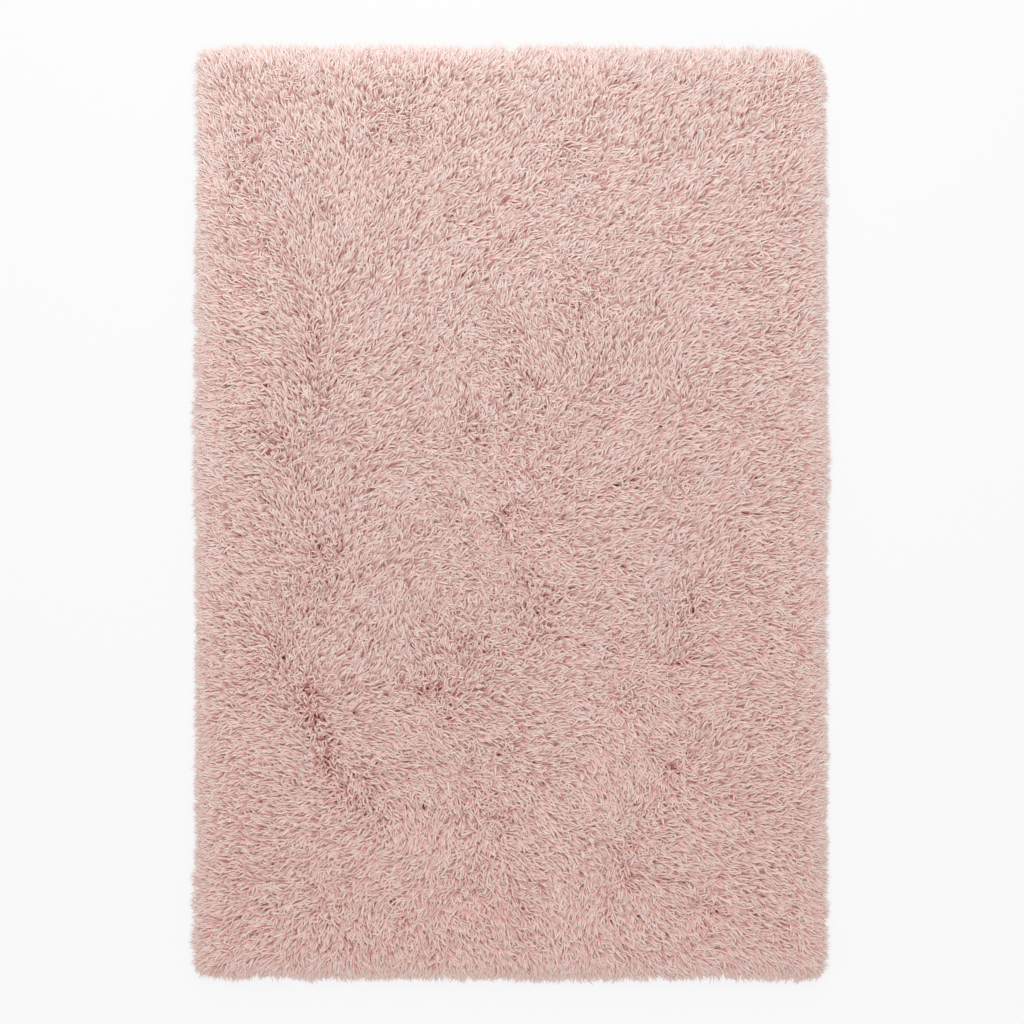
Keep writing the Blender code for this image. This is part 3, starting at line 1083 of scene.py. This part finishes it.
class RUG_OT_stage(bpy.types.Operator):
    """Camera straight above the rug, soft light from the back, and a pale floor."""

    bl_idname = "rug.stage"
    bl_label = "Stage"

    lens: FloatProperty(
        name="Lens", description="Focal length of the camera, in millimetres", default=100.0
    )
    seen_width: FloatProperty(
        name="Seen width", description="Width of floor that the camera takes in",
        default=2.048, unit="LENGTH",
    )
    middle: FloatVectorProperty(
        name="Middle", description="Point of the floor that the camera hangs over",
        subtype="XYZ", size=2, default=(0.002, 0.004), unit="LENGTH",
    )
    floor_size: FloatProperty(
        name="Floor size", description="Side of the square floor", default=14.0, unit="LENGTH"
    )
    daylight: FloatProperty(
        name="Daylight", description="Strength of the even light from all round", default=0.98
    )

    def execute(self, context):
        camera_data = bpy.data.cameras.new("camera")
        camera_data.lens = self.lens
        camera = link("camera", camera_data)
        distance = self.seen_width * self.lens / camera_data.sensor_width
        camera.location = (*self.middle, distance + CAD_HEIGHT / 2)
        context.scene.camera = camera

        bpy.ops.mesh.primitive_plane_add(size=self.floor_size, location=(0, 0, 0))
        floor = context.object
        floor.name = "studio_floor"
        floor.data.materials.append(floor_material(context.scene.rug_colours))

        add_light(
            "key_light", place=(-0.25, 2.2, 1.8), target=(0.0, 0.3, 0.0), size=1.6, power=32.0
        )
        add_light(
            "fill_light", place=(0.9, -1.8, 3.6), target=(0.0, 0.0, 0.0), size=2.5, power=1.0
        )

        world = bpy.data.worlds.new("studio")
        world.use_nodes = True
        background = world.node_tree.nodes["Background"]
        background.inputs["Color"].default_value = (1.0, 1.0, 1.0, 1.0)
        background.inputs["Strength"].default_value = self.daylight
        context.scene.world = world
        context.scene.view_settings.view_transform = "Standard"
        return {"FINISHED"}


class RUG_OT_pile(bpy.types.Operator):
    """All locks of the pile, in bands from the front end to the back."""

    bl_idname = "rug.pile"
    bl_label = "Pile"

    def execute(self, context):
        sizes = context.scene.rug_sizes
        rng = np.random.default_rng(sizes.seed)
        points, roll, twist, width, shade = grow_strands(rng, sizes)
        sides = ribbon_sides(points, roll, twist, width)
        material = pile_material(context.scene.rug_colours)
        order = np.argsort(points[:, 0, 1], kind="stable")
        for number, band in enumerate(np.array_split(order, sizes.pieces), start=1):
            name = f"pile_{number}"
            mesh = strand_mesh(name, points[band], sides[band], shade[band])
            mesh.materials.append(material)
            piece = link(name, mesh)
            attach(piece, "root")
            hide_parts(CAD_NODE)
        return {"FINISHED"}


class RUG_OT_ground_cloth(bpy.types.Operator):
    """The thin woven cloth that the pile stands in."""

    bl_idname = "rug.ground_cloth"
    bl_label = "Ground cloth"

    cell: FloatProperty(
        name="Cell", description="Size of the cloth mesh's squares", default=0.06, unit="LENGTH"
    )

    def execute(self, context):
        sizes = context.scene.rug_sizes
        bpy.ops.mesh.primitive_grid_add(
            x_subdivisions=round(sizes.cloth_width / self.cell),
            y_subdivisions=round(sizes.cloth_length / self.cell),
            size=1.0,
        )
        cloth = context.object
        cloth.name = "ground_cloth"
        for vertex in cloth.data.vertices:
            vertex.co.x *= sizes.cloth_width
            vertex.co.y *= sizes.cloth_length
        solidify = cloth.modifiers.new("thickness", "SOLIDIFY")
        solidify.thickness = sizes.cloth_thickness
        solidify.offset = 1.0
        cloth.data.materials.append(cloth_material(context.scene.rug_colours))
        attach(cloth, "root")
        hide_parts(CAD_NODE)
        bands = [f"pile_{number}" for number in range(1, sizes.pieces + 1)]
        return {"FINISHED"}


class RUG_PT_panel(bpy.types.Panel):
    """Lists the rug's sizes, colours and steps."""

    bl_label = "Shag Rug"
    bl_idname = "RUG_PT_panel"
    bl_space_type = "VIEW_3D"
    bl_region_type = "UI"
    bl_category = "Shag Rug"

    def draw(self, context):
        layout = self.layout
        for group in (context.scene.rug_sizes, context.scene.rug_colours):
            box = layout.box()
            for name in group.__annotations__:
                box.prop(group, name)
        for operator in (RUG_OT_stage, RUG_OT_pile, RUG_OT_ground_cloth):
            layout.operator(operator.bl_idname)


CLASSES = (RugSizes, RugColours, RUG_OT_stage, RUG_OT_pile, RUG_OT_ground_cloth, RUG_PT_panel)


def register():
    for cls in CLASSES:
        bpy.utils.register_class(cls)
    bpy.types.Scene.rug_sizes = PointerProperty(type=RugSizes)
    bpy.types.Scene.rug_colours = PointerProperty(type=RugColours)


def unregister():
    del bpy.types.Scene.rug_colours
    del bpy.types.Scene.rug_sizes
    for cls in reversed(CLASSES):
        bpy.utils.unregister_class(cls)


def main():
    register()
    bpy.ops.rug.stage()
    bpy.ops.rug.pile()
    bpy.ops.rug.ground_cloth()


if __name__ == "__main__":
    main()
